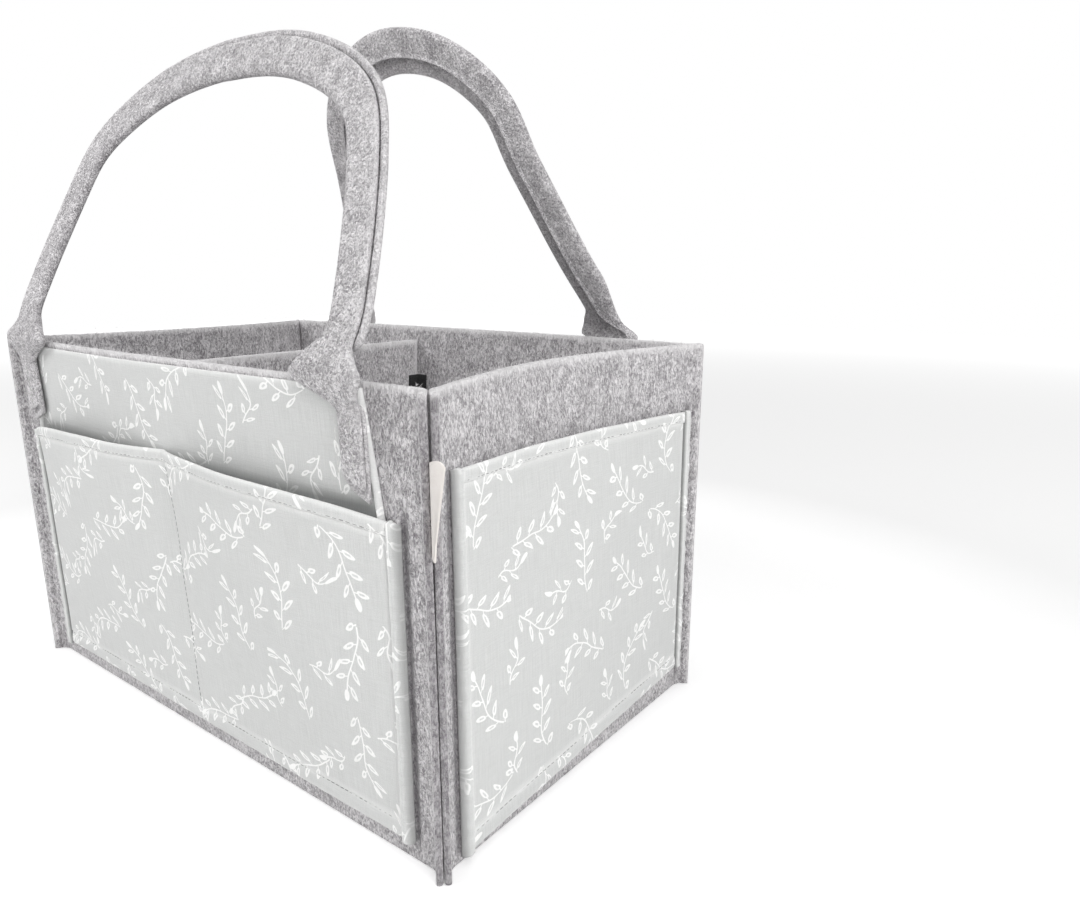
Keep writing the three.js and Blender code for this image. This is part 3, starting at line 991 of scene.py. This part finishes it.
def sewn_pocket(pocket):
    panel = pocket_panel(pocket)
    hem, band = pocket_hem(pocket), pocket_band(pocket)
    bindings = [pocket_binding(pocket, end) for end in (1, -1)]
    stitches = pocket_stitches(pocket)
    width = 2 * pocket.panel_reach * (1 + pocket.fullness)
    height = pocket.high - HEM_HEIGHT - pocket.low - BAND_HEIGHT
    width * MM
    height * MM


def lining(side):
    """The cloth that covers the felt above the pocket's mouth, with a roll at each end."""
    def end_at(end, less=0):
        return lambda v: end * (LENGTH / 2 - mix(LINING_INSET_LOW, LINING_INSET_TOP, v) - less)

    def edges(start, end):
        return {"low": level(LINING_LOW), "high": level(LINING_HIGH), "start": start, "end": end}

    def panel_front(s, z, u, v):
        return LINING_OUT + waved(LINING_WAVE, s, z, 51)

    def roll_front(s, z, u, v):
        return LINING_OUT + LINING_ROLL * np.sin(math.pi * u) + waved(LINING_ROLL_WAVE, s, z, 57)

    # Painted shade: the lining darkened low down, inside the pocket's mouth, where it lies in shadow.
    def shade(u, v):
        z = mix(LINING_LOW, LINING_HIGH, v)
        return MOUTH_SHADE * (1 - smooth(z, MOUTH_HIGH, MOUTH_HIGH + MOUTH_SHADE_FADE))

    width, height = LENGTH - 2 * LINING_INSET_LOW, LINING_HIGH - LINING_LOW
    panel = along_wall(side, "lining_cloth", "lining_panel",
                       edges(end_at(1, LINING_EDGE), end_at(-1, LINING_EDGE)), panel_front, on_felt,
                       (width, height), 0.4, step=4, vs=np.linspace(0, 1, 25), shade=shade)
    rolls = [along_wall(side, f"lining_roll_{side.word(end)}", f"lining_edge_{side.word(end)}",
                        edges(end_at(end, LINING_EDGE + 0.1), end_at(end)), roll_front, on_felt,
                        (LINING_EDGE, height), 0.5, turned=True, step=1.2) for end in (1, -1)]


# Felt box

def bend_of(a, corner, direction):
    """Plan points along a line that turns at a corner; a is the distance past it."""
    corner, ahead, direction = np.array(corner), np.array([1, 0]), np.array(direction)
    start, end = corner - CORNER_RADIUS * ahead, corner + CORNER_RADIUS * direction
    a = a[:, None]
    t = np.clip((a + CORNER_RADIUS) / (2 * CORNER_RADIUS), 0, 1)
    curve = (1 - t) ** 2 * start + 2 * t * (1 - t) * corner + t ** 2 * end
    return np.where(a < -CORNER_RADIUS, corner + a * ahead,
                    np.where(a > CORNER_RADIUS, corner + a * direction, curve))


def wall(pocket):
    """A wall whose ends turn outward as fins, with the furrows that its pocket presses in."""
    side = pocket.side
    half = side.half - SEAM_GAP * DIAGONAL
    inner, outer = half - FELT, half - FELT * math.sqrt(2)
    run = FELT + FIN * DIAGONAL
    fin_out, fin_in = (run - FELT * (math.sqrt(2) - 1) * DIAGONAL) / DIAGONAL, run / DIAGONAL
    share = outer / (outer + fin_out)

    def face(u, v, sign):
        outside = ((outer, 0), outer, fin_out, 1)
        corner, flat, fin, lift = outside if sign > 0 else ((inner, -FELT), inner, fin_in, 0)
        end, far = np.sign(2 * u - 1), np.abs(2 * u - 1)
        a = np.where(far <= share, (far / share - 1) * flat, (far - share) / (1 - share) * fin)
        spot = bend_of(a, corner, (DIAGONAL, DIAGONAL))
        groove = lift * SEAM_GROOVE * hill(a - SEAM_GROOVE_AT, SEAM_GROOVE_WIDTH) * DIAGONAL
        s = end * (spot[:, 0] + groove)
        z = v * (HEIGHT - rim_dip(side, s))
        dent = groove + lift * FURROW * pocket.furrow(s, z)
        gape = mix(FIN_SPLAY_FOOT, 1, smooth(z, HEIGHT / 2, HEIGHT))
        splay = FIN_SPLAY * gape * np.maximum(0, a / fin) ** 2 * DIAGONAL
        return place(side, s - end * splay, spot[:, 1] + bow_at(side, s, z) - dent + splay, z)

    width = 2 * (outer + fin_out)
    fine = np.concatenate([np.linspace(0, fin_out, FIN_COUNT + 1)[:-1], fin_out * np.array([1.12, 1.25]),
                           fin_out + np.linspace(0.8, WALL_FINE_REACH, WALL_FINE_COUNT)])
    main = np.linspace(fin_out, width - fin_out, round(2 * outer / WALL_STEP) + 1)
    main = main[(main > fine[-1]) & (main < width - fine[-1])]
    us = np.unique(np.concatenate([fine, main, width - fine])) / width
    made = closed_sheet(f"{side.label}_felt_wall", face, (width, HEIGHT), FELT_WALL, 0.7, us=us,
                        cut_sides=True)
    # Painted shade in the furrows beside the bindings.
    mark(made, "painted_shade", furrow_shade(made, pocket))
    return keep(made, "caddy", "felt", f"{side.label}_wall")


def furrow_shade(made, pocket):
    """Painted shade: the felt's outer face is darkened in the furrows beside the bindings, where shadow
    falls.
    """
    side = pocket.side
    points = np.array([v.co for v in made.data.vertices]) / MM
    c, d = math.cos(side.turn), math.sin(side.turn)
    s, out, z = points[:, 0] * c + points[:, 1] * d, points[:, 0] * d - points[:, 1] * c, points[:, 2]
    outside = out > side.face + bow_at(side, s, z) - FELT / 2
    return np.where(outside, pocket.furrow(s, z), 0)


def base_panel():
    x, y = LENGTH / 2 - FELT - GAP, WIDTH / 2 - FELT - GAP

    def face(u, v, sign):
        z = np.full_like(u, FELT * (1 + sign) / 2)
        return np.stack([mix(-x, x, u), mix(-y, y, v), z], axis=-1)

    made = closed_sheet("felt_base", face, (2 * x, 2 * y), FELT_STRAP, 0.8, step=8)
    return keep(made, "caddy", "felt", "base_panel")


# Handle straps

def curve_through(points):
    """Centripetal curve through plan points."""
    points = np.array(points, float)
    padded = np.vstack([2 * points[0] - points[1], points, 2 * points[-1] - points[-2]])
    line = []
    t = np.linspace(0, 1, CURVE_SAMPLES, endpoint=False)[:, None]
    for p0, p1, p2, p3 in zip(padded, padded[1:], padded[2:], padded[3:]):
        d0, d1, d2 = (math.sqrt(np.linalg.norm(b - a)) for a, b in ((p0, p1), (p1, p2), (p2, p3)))
        m1 = ((p1 - p0) / d0 - (p2 - p0) / (d0 + d1) + (p2 - p1) / d1) * d1
        m2 = ((p2 - p1) / d1 - (p3 - p1) / (d1 + d2) + (p3 - p2) / d2) * d1
        line.append((2 * t ** 3 - 3 * t ** 2 + 1) * p1 + (t ** 3 - 2 * t ** 2 + t) * m1
                    + (3 * t ** 2 - 2 * t ** 3) * p2 + (t ** 3 - t ** 2) * m2)
    return np.vstack([*line, points[-1:]])


class ArchRoute:
    """Centre line of half a strap in its own plane, by distance from the hinge."""

    def __init__(self, arch):
        crown = [(arch.shoulder * math.cos(a), mix(arch.shoulder_rise, arch.height, math.sin(a)))
                 for a in np.radians(CROWN_ANGLES)]
        foot = (arch.root + arch.leg_out, FOOT_RISE)
        knee = (mix(arch.root, arch.shoulder, KNEE_DRAW) + arch.leg_out, arch.shoulder_rise * KNEE_SHARE)
        line = curve_through([(arch.root, 0), foot, knee, *crown])
        # The last stretch, past the crown's top, only gives the curve its level end.
        self.line = line[:-CURVE_SAMPLES]
        self.run = np.concatenate([[0], np.cumsum(np.linalg.norm(np.diff(self.line, axis=0), axis=1))])
        self.length = self.run[-1]

    def point(self, along):
        x, t = (np.interp(along, self.run, self.line[:, k]) for k in (0, 1))
        return x, np.where(along < 0, along, t)

    def across(self, along):
        """Unit direction across the strap: square to it, and level where it is sewn down."""
        ahead = along + TANGENT_STEP
        x0, t0 = self.point(np.maximum(along - TANGENT_STEP, 0))
        x1, t1 = self.point(self.length - np.abs(self.length - ahead))
        x1 = np.where(ahead > self.length, -x1, x1)
        square = unit(np.stack([t1 - t0, x0 - x1], axis=-1))
        flare = (1 - smooth(along, 0, STRAP_ROOT_FLARE))[:, None]
        return unit(mix(square, np.array([1.0, 0.0]), flare))


def strap_end(side, z):
    """Centre and half width of the strap's end on the wall at a height, and how far it has turned."""
    turn = smooth(z, HEIGHT - STRAP_TURN, HINGE_Z)
    centre = side.arch.root + mix(STRAP_END_OFFSET, 0, turn)
    return centre, mix(STRAP_END_WIDTH, STRAP_ROOT_WIDTH, turn) / 2, turn


def strap_back(side, z):
    centre, half, _ = strap_end(side, z)
    return bow_at(side, centre - half, np.minimum(z, HEIGHT)) + LINING_OUT + GAP


def strap_halves(arch, along, end_half, at_left):
    """Half widths towards the middle of the box and away from it. Above the rim the strap narrows
    from its flat root to its folded width."""
    halves = []
    for root, sweep, power, pinch in zip((np.where(at_left, arch.left_root, arch.roots[0]), arch.roots[1]),
                                         arch.sweep, (1, arch.power), (0, arch.pinch)):
        narrow = arch.width / 2 - pinch * (1 - smooth(along, *PINCH_ZONE))
        above = mix(narrow, root, np.clip(1 - along / sweep, 0, 1) ** power)
        below = end_half + (root - STRAP_ROOT_WIDTH / 2) * smooth(along, -STRAP_TURN, 0) ** 2
        halves.append(np.where(along < 0, below, above))
    return halves


def folded(arch, u, halves, shorts, flap):
    """Place in the folded section: distance across, distance in, and the face's direction."""
    open_half, fold_half = halves[::-1] if arch.open_side > 0 else halves
    bend = (FELT + STRAP_FOLD_GAP) / 2
    fold_at = -arch.open_side * (fold_half - bend - FELT / 2)
    outer_end, inner_end = (arch.open_side * (open_half - short) for short in shorts)
    inner_end = mix(fold_at + arch.open_side, inner_end, flap)
    angle = math.pi * np.clip((u - OUTER_SHARE) / (INNER_SHARE - OUTER_SHARE), 0, 1)
    first, last = np.clip(u / OUTER_SHARE, 0, 1), np.clip((u - INNER_SHARE) / (1 - INNER_SHARE), 0, 1)
    w = np.where(u < OUTER_SHARE, mix(outer_end, fold_at, first), mix(fold_at, inner_end, last))
    face_w, face_n = -arch.open_side * np.sin(angle), -np.cos(angle)
    if arch.flush:
        lifted = -arch.flush * smooth(arch.open_side * (w - outer_end), -0.2, 1.4)
    else:
        edge = np.abs(w - inner_end)
        lifted = STRAP_RIDGE * (hill(edge, STRAP_RIDGE_WIDTH)
                                - 0.7 * hill(edge - STRAP_SEAM_AT, STRAP_SEAM_WIDTH))
    return w + bend * face_w, STRAP_THICK / 2 + bend * face_n + lifted * (u > INNER_SHARE), face_w, face_n


def sewn_place(side, mirror, along, w, n):
    """Where the strap's end lies on the wall, w across and n in from its outer face."""
    tail = STRAP_END_DROP + HINGE_RISE
    z = HINGE_Z + np.minimum(along, 0)
    centre, _, turn = strap_end(side, z)
    slant = STRAP_END_SLANT * w * smooth(-along, tail - STRAP_END_SLANT_REACH, tail)
    out = strap_back(side, z) + (STRAP_THICK - n) * mix(STRAP_SEWN_PRESSED, 1, turn)
    return place(side, mirror * (centre + w), out, HINGE_Z + along - slant)


def arched_place(side, route, mirror, at_left, along, w, n, hinge_out):
    """Where the strap stands over the box, w across and n in from its outer face."""
    x, t = route.point(along)
    across = route.across(np.maximum(along, 0))
    flat_y = n + waved(STRAP_WAVE, along, mirror * 50, len(side.label) + 70)
    flat_t = t + w * across[:, 1]
    y = flat_y * math.cos(STRAP_LEAN) + flat_t * math.sin(STRAP_LEAN)
    rise = flat_t * math.cos(STRAP_LEAN) - flat_y * math.sin(STRAP_LEAN)
    draw = np.where(at_left, mix(1, side.arch.left_draw, smooth(along, 0, STRAP_DRAW_REACH)), 1)
    return place(side, mirror * (x * draw + w * across[:, 0]), hinge_out - y, HINGE_Z + rise)


def strap(side):
    """One felt strap: both ends sewn on the wall, folded lengthwise, and arched over the box."""
    arch = side.arch
    route = ArchRoute(arch)
    tail = STRAP_END_DROP + HINGE_RISE
    reach = route.length + tail
    hinge_out = strap_back(side, np.array(float(HEIGHT))) + STRAP_THICK + GAP

    def face(u, v, sign):
        mirror = np.where(v < 0.5, 1, -1)
        at_left = mirror * math.cos(side.turn) < 0
        along = (1 - np.abs(2 * v - 1)) * reach - tail
        layer = STRAP_LAYER_DROP * smooth(u, OUTER_SHARE, INNER_SHARE) / tail
        along = np.where(along < 0, along * (1 + layer), along)
        _, end_half, turn = strap_end(side, HINGE_Z + np.minimum(along, 0))
        unfolded = smooth(along, *arch.flap_zone)
        w, n, face_w, face_n = folded(
            arch, u, strap_halves(arch, along, end_half, at_left),
            [short * unfolded for short in arch.shorts], np.where(along < 0, 1 - turn, unfolded),
        )
        w = w + sign * face_w * FELT / 2
        n = mix(STRAP_THICK / 2, n + sign * face_n * FELT / 2, STRAP_PRESSED)
        return mix(
            sewn_place(side, mirror, along, w, n),
            arched_place(side, route, mirror, at_left, along, w, n, hinge_out),
            smooth(along, -STRAP_BEND_BELOW, STRAP_BEND_ABOVE)[:, None],
        )

    leaf = OUTER_SHARE * np.array([0, 0.03, 0.07, 0.12, 0.18, 0.26, 0.38, 0.52, 0.68, 0.84])
    us = np.concatenate([leaf, np.linspace(OUTER_SHARE, INNER_SHARE, 7), (1 - leaf)[::-1]])
    vs = np.linspace(0, 1, 2 * round(reach / STRAP_STEP) + 1)
    made = closed_sheet(f"{side.label}_strap", face, (STRAP_FLAT, 2 * reach), FELT_STRAP, 0.7, us=us,
                        vs=vs)
    # Painted shade on the back face, for the shadow between the leaves.
    shade = np.zeros(len(made.data.vertices))
    shade[len(us) * len(vs):2 * len(us) * len(vs)] = arch.shade
    mark(made, "painted_shade", shade)
    hinge = place(side, 0.0, hinge_out, 0.0) * MM
    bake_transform(made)
    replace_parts(made, f"{side.label}_handle",
                *(f"{side.label}_strap_end_{word}_{layer}" for word in side.words
                  for layer in ("outer", "inner")))


def strap_end_stitches(side):
    """Stitches down each sewn end of a strap, near its edges."""
    z = np.linspace(HEIGHT - STRAP_END_DROP + 3, HEIGHT - STRAP_TURN, 30)
    centre, half, _ = strap_end(side, z)
    out = strap_back(side, z) + STRAP_THICK + 0.02
    lines = [place(side, end * (centre + edge * half * STRAP_STITCH_AT), out, z)
             for end in (1, -1) for edge in (-1, 1)]
    stitch_row(f"{side.label}_strap_stitches", side, lines, PALE_THREAD)


# Divider and label

def divider_reach(z):
    """Half of the divider's width at a height, between the bowed walls."""
    bowed = FRONT.bow * (1 - abs(DIVIDER_X / (LENGTH / 2 - SEAM_STEP - FELT)) ** FRONT.shape)
    return WIDTH / 2 - FELT - GAP + bowed * (z / HEIGHT) ** BOW_POWER - DIVIDER_EASE


def divider():
    low, high = FELT + GAP, HEIGHT - DIVIDER_DROP

    def face(u, v, sign):
        z = mix(low, high, v)
        uneven = waved(DIVIDER_WAVE, u * DIVIDER_SPAN, z, 81) * np.sin(math.pi * u)
        x = DIVIDER_X + sign * FELT / 2 + uneven
        return np.stack([x, mix(-divider_reach(z), divider_reach(z), u), z], axis=-1)

    panel = closed_sheet("felt_divider", face, (WIDTH - 4 * FELT, high - low), FELT_WALL, 1.2, step=4)
    keep(panel, "divider", "felt", "divider_panel")
    for word, end in (("rear", 1), ("front", -1)):
        hook_tape(word, end, low + TAPE_DROP, high - TAPE_DROP)


def hook_tape(word, end, low, high):
    """A strip that holds the divider in its corner with the wall, bent along its middle."""
    def face(u, v, sign):
        z, inset = mix(low, high, v), TAPE_THICK * (1 - sign) / 2
        x, wall_at = DIVIDER_X + FELT / 2 + GAP + inset, divider_reach(z) - GAP - inset
        bend = smooth(u, 0.42, 0.58)
        on_panel, on_wall = np.clip(1 - 2 * u, 0, 1), np.clip(2 * u - 1, 0, 1)
        y = mix(mix(wall_at, wall_at + inset - TAPE_WIDTH, on_panel), wall_at, bend)
        across = mix(x, mix(x, x - inset + TAPE_WIDTH, on_wall), bend)
        return np.stack([across, end * y, z], axis=-1)

    made = closed_sheet(f"hook_tape_{word}", face, (2 * TAPE_WIDTH, high - low), HOOKS, 0.5, step=2)
    keep(made, "divider", "hook_tape", f"divider_hook_tape_{word}")


def label():
    """A bare ribbon, doubled, whose two leaves curl away from the near corner seam."""
    tip = FIN * DIAGONAL
    low, high = HEIGHT - LABEL_DROP - LABEL_HEIGHT, HEIGHT - LABEL_DROP
    start = np.array([LENGTH / 2 + tip, -(WIDTH / 2 + tip)])
    out, aside = DIAGONAL * np.array([1, -1]), DIAGONAL * np.array([1, 1])

    def face(u, v, sign):
        run = GAP - LABEL_SEWN + u * (LABEL_REACH + LABEL_SEWN)
        open_by = LABEL_THICK / 2 + LABEL_OPEN * np.sin(math.pi * np.clip(u, 0, 1) ** 0.6)
        bend = u * u * mix(LABEL_LOW_CURL, LABEL_CURL, v) + sign * open_by
        top = high - LABEL_CORNER_HIGH / 2 + u * (LABEL_CORNER_HIGH + 1) - u ** 8 * LABEL_CORNER_HIGH
        z = mix(low + smooth(u, 0.6, 1) * LABEL_CORNER_LOW, top, v)
        spot = start + run[:, None] * out + bend[:, None] * aside
        return np.concatenate([spot, z[:, None]], axis=1)

    made = closed_sheet("label_ribbon", face, (LABEL_REACH, LABEL_HEIGHT), SATIN, 0.4, step=1)
    keep(made, "caddy", "label_ribbon", "label_tab")


# Fuzz

def rim_fuzz(side):
    """Fibres that stand off a wall's rim, as thin closed spindles."""
    s = np.linspace(-side.half + SEAM_STEP, side.half - SEAM_STEP, 60)
    z = HEIGHT - 0.4 - rim_dip(side, s)
    line = place(side, s, bow_at(side, s, z) - FELT / 2, z)
    count = round(2 * side.half * FUZZ_PER_MM)
    random = np.random.default_rng(len(side.label))
    spot = random.uniform(0, len(line) - 1, count)
    low = spot.astype(int)
    centres = mix(line[low], line[low + 1], (spot - low)[:, None])
    along = unit(random.normal(0, 1, (count, 3)) + np.array([0, 0, 0.5]))
    length = FUZZ_LENGTH * random.uniform(0.5, 1.3, count)[:, None]
    centres = centres + random.normal(0, FUZZ_SPREAD, (count, 3)) + along * length * 0.2
    normal = unit(np.cross(along, random.normal(0, 1, (count, 3))))
    made = spindles(f"{side.label}_rim_fuzz", centres, along, normal, length, FUZZ_THICK, FUZZ)
    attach(made, "caddy")


# Scene

def camera():
    data = bpy.data.cameras.new("camera")
    data.sensor_width = 36
    data.lens = 26.95
    data.shift_y = 0.0148
    data.clip_start = 0.01
    made = linked("camera", data)
    made.location = (0.3693, -0.2979, 0.2395)
    made.rotation_euler = [math.radians(a) for a in (76.223, 0, 37.26)]
    bpy.context.scene.camera = made


def area_light(name, location, size, watts):
    data = bpy.data.lights.new(name, "AREA")
    data.shape = "SQUARE"
    data.size = size
    data.energy = watts
    made = linked(name, data)
    made.location = location
    aim = Vector(LIGHT_TARGET) - Vector(location)
    made.rotation_euler = aim.to_track_quat("-Z", "Y").to_euler()


def backdrop_rays(tree):
    """1 for rays that should see the plain background: from the camera, in gloss and through glass."""
    seen = [node(tree, "LightPath", f"Is {kind} Ray") for kind in ("Camera", "Glossy", "Transmission")]
    return largest(largest(seen[0], seen[1]), seen[2])


def world():
    made = bpy.data.worlds.new("studio")
    bpy.context.scene.world = made
    made.use_nodes = True
    tree = made.node_tree
    background = tree.nodes["Background"]
    background.inputs["Color"].default_value = (1, 1, 1, 1)
    plug(tree, background.inputs["Strength"], backdrop_rays(tree) * (1 - WORLD_LIGHT) + WORLD_LIGHT)


def floor():
    """A white floor that glows for the camera, near the box and more and more away from it."""
    mesh = bpy.data.meshes.new("floor")
    corners = [(x * FLOOR_SIZE, y * FLOOR_SIZE, 0) for x, y in ((-1, -1), (1, -1), (1, 1), (-1, 1))]
    mesh.from_pydata(corners, [], [(0, 1, 2, 3)])
    paint = Finish("floor")
    mesh.materials.append(paint.material)
    x, y = x_and_y(paint.tree, paint.solid_coordinates())
    radius = (x * x + y * y).math("SQRT")
    beside = (radius * (-1 / FLOOR_NEAR_FADE) + FLOOR_NEAR_END / FLOOR_NEAR_FADE).clamped()
    far = (radius - FLOOR_NEAR_END).math("MAXIMUM", 0)
    glow = beside * FLOOR_NEAR + far * FLOOR_RISE + FLOOR_GLOW
    paint.set(Base_Color=(0.9, 0.9, 0.9, 1), Roughness=1, Specular_IOR_Level=0,
              Emission_Color=(1, 1, 1, 1), Emission_Strength=backdrop_rays(paint.tree) * glow)
    linked("floor", mesh)


SIDE_SIZES = dict(inset=15, shift=0, low=9, low_far=9, drop=SIDE_POCKET_DROP, bulge=9, seams=(0,),
                  lift=LINING_OUT, rise=6, dip=2.3, tilt=0, fullness=0.08, furrow_low=9)
END_SIZES = dict(inset=7.5, shift=2.5, low=3, low_far=14, drop=34, bulge=3.5, seams=(),
                 lift=FABRIC, rise=0, dip=0, tilt=-1.6, fullness=0.03, furrow_low=4)
SIDE_POCKETS = [Pocket(side, **SIDE_SIZES) for side in (FRONT, REAR)]
END_POCKETS = [Pocket(side, **END_SIZES) for side in (RIGHT, LEFT)]

camera()
world()
floor()
area_light("key", (-0.75, -1.0, 0.95), 0.5, 9.2)
area_light("fill", (1.2, -0.5, 0.85), 1.0, 13.4)
area_light("top", (0.1, 0.3, 1.6), 1.2, 7.5)

base_panel()
for each in SIDE_POCKETS + END_POCKETS:
    wall(each)
for each in SIDE_POCKETS:
    lining(each.side)
    sewn_pocket(each)
    strap_end_stitches(each.side)
strap(FRONT)
strap(REAR)
for each in END_POCKETS:
    sewn_pocket(each)
for each in (FRONT, REAR, RIGHT, LEFT):
    rim_fuzz(each)
divider()
label()

bpy.context.scene.view_settings.view_transform = "Standard"
